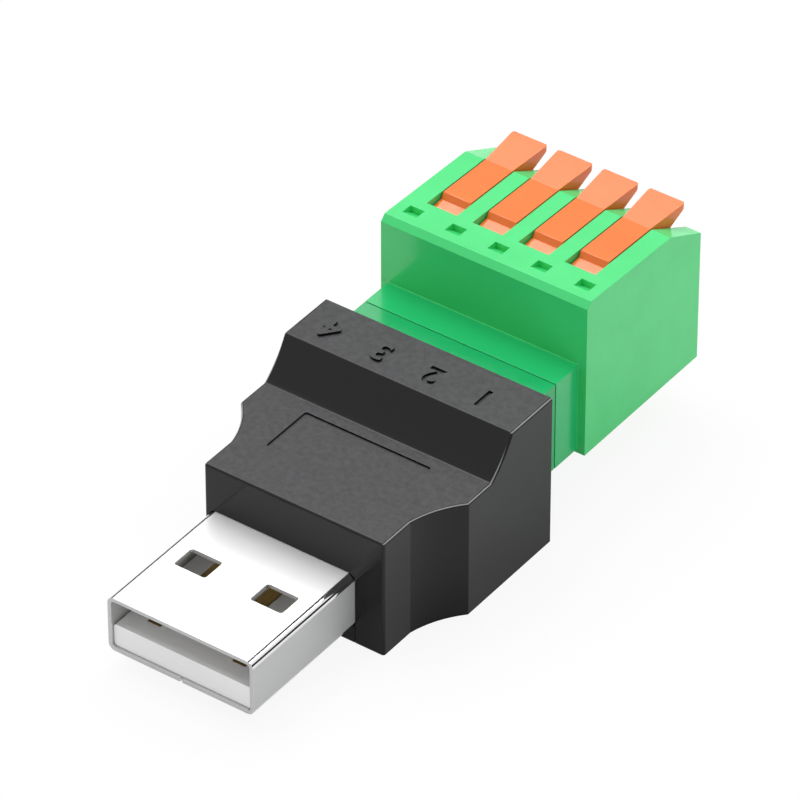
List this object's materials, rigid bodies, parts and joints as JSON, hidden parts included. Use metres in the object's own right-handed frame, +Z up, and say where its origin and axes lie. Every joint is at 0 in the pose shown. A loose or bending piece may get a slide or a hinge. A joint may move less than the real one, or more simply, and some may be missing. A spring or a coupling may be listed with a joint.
{
  "type": "usb plug terminal adapter",
  "caption": "USB type A plug adapter: steel plug, black housing and a green pull-off terminal plug whose orange levers open spring clamps for bare wires.",
  "frame": {"origin": "on the steel plug's axis, at the front face of the black housing", "axes": "+Y from the steel plug's mouth to the wire entries, +Z up to the levers, X across the poles"},
  "size_m": [0.0188, 0.0467, 0.0165],
  "materials": {
    "plug_steel": "satin",
    "insulator": "matte",
    "contact_metal": "polished",
    "tinned_metal": "satin",
    "spring_steel": "satin",
    "black_plastic": "matte",
    "board": "satin",
    "green_plastic": "matte",
    "orange_plastic": "matte"
  },
  "bodies": {
    "adapter": {"usb_shell": "plug_steel", "usb_insulator": "insulator", "adapter_housing": "black_plastic", "bottom_cover": "black_plastic", "circuit_board": "board", "header_shroud": "green_plastic", "usb_contact_1": "contact_metal", "usb_contact_2": "contact_metal", "usb_contact_3": "contact_metal", "usb_contact_4": "contact_metal", "header_pin_1": "tinned_metal", "header_pin_2": "tinned_metal", "header_pin_3": "tinned_metal", "header_pin_4": "tinned_metal"},
    "plug": {"plug_housing": "green_plastic", "plug_contact_1": "tinned_metal", "plug_contact_2": "tinned_metal", "plug_contact_3": "tinned_metal", "plug_contact_4": "tinned_metal", "clamp_spring_1": "spring_steel", "clamp_spring_2": "spring_steel", "clamp_spring_3": "spring_steel", "clamp_spring_4": "spring_steel"},
    "lever_1": {"lever_1": "orange_plastic"},
    "lever_2": {"lever_2": "orange_plastic"},
    "lever_3": {"lever_3": "orange_plastic"},
    "lever_4": {"lever_4": "orange_plastic"}
  },
  "joints": [
    {"name": "plug_pull", "type": "slide", "parent": "adapter", "child": "plug", "axis": [0, 1, 0], "range_m": [0, 0.01]},
    {"name": "lever_1_press", "type": "hinge", "parent": "plug", "child": "lever_1", "pos_m": [0.00671, 0.02602, 0.011], "axis": [-1, 0, 0], "range_deg": [0, 15], "stiffness_Nm_per_rad": 0.12, "springref_deg": -20.05, "deforming": ["clamp_spring_1"]},
    {"name": "lever_2_press", "type": "hinge", "parent": "plug", "child": "lever_2", "pos_m": [0.00291, 0.02602, 0.011], "axis": [-1, 0, 0], "range_deg": [0, 15], "stiffness_Nm_per_rad": 0.12, "springref_deg": -20.05, "deforming": ["clamp_spring_2"]},
    {"name": "lever_3_press", "type": "hinge", "parent": "plug", "child": "lever_3", "pos_m": [-0.0009, 0.02602, 0.011], "axis": [-1, 0, 0], "range_deg": [0, 15], "stiffness_Nm_per_rad": 0.12, "springref_deg": -20.05, "deforming": ["clamp_spring_3"]},
    {"name": "lever_4_press", "type": "hinge", "parent": "plug", "child": "lever_4", "pos_m": [-0.00471, 0.02602, 0.011], "axis": [-1, 0, 0], "range_deg": [0, 15], "stiffness_Nm_per_rad": 0.12, "springref_deg": -20.05, "deforming": ["clamp_spring_4"]}
  ]
}
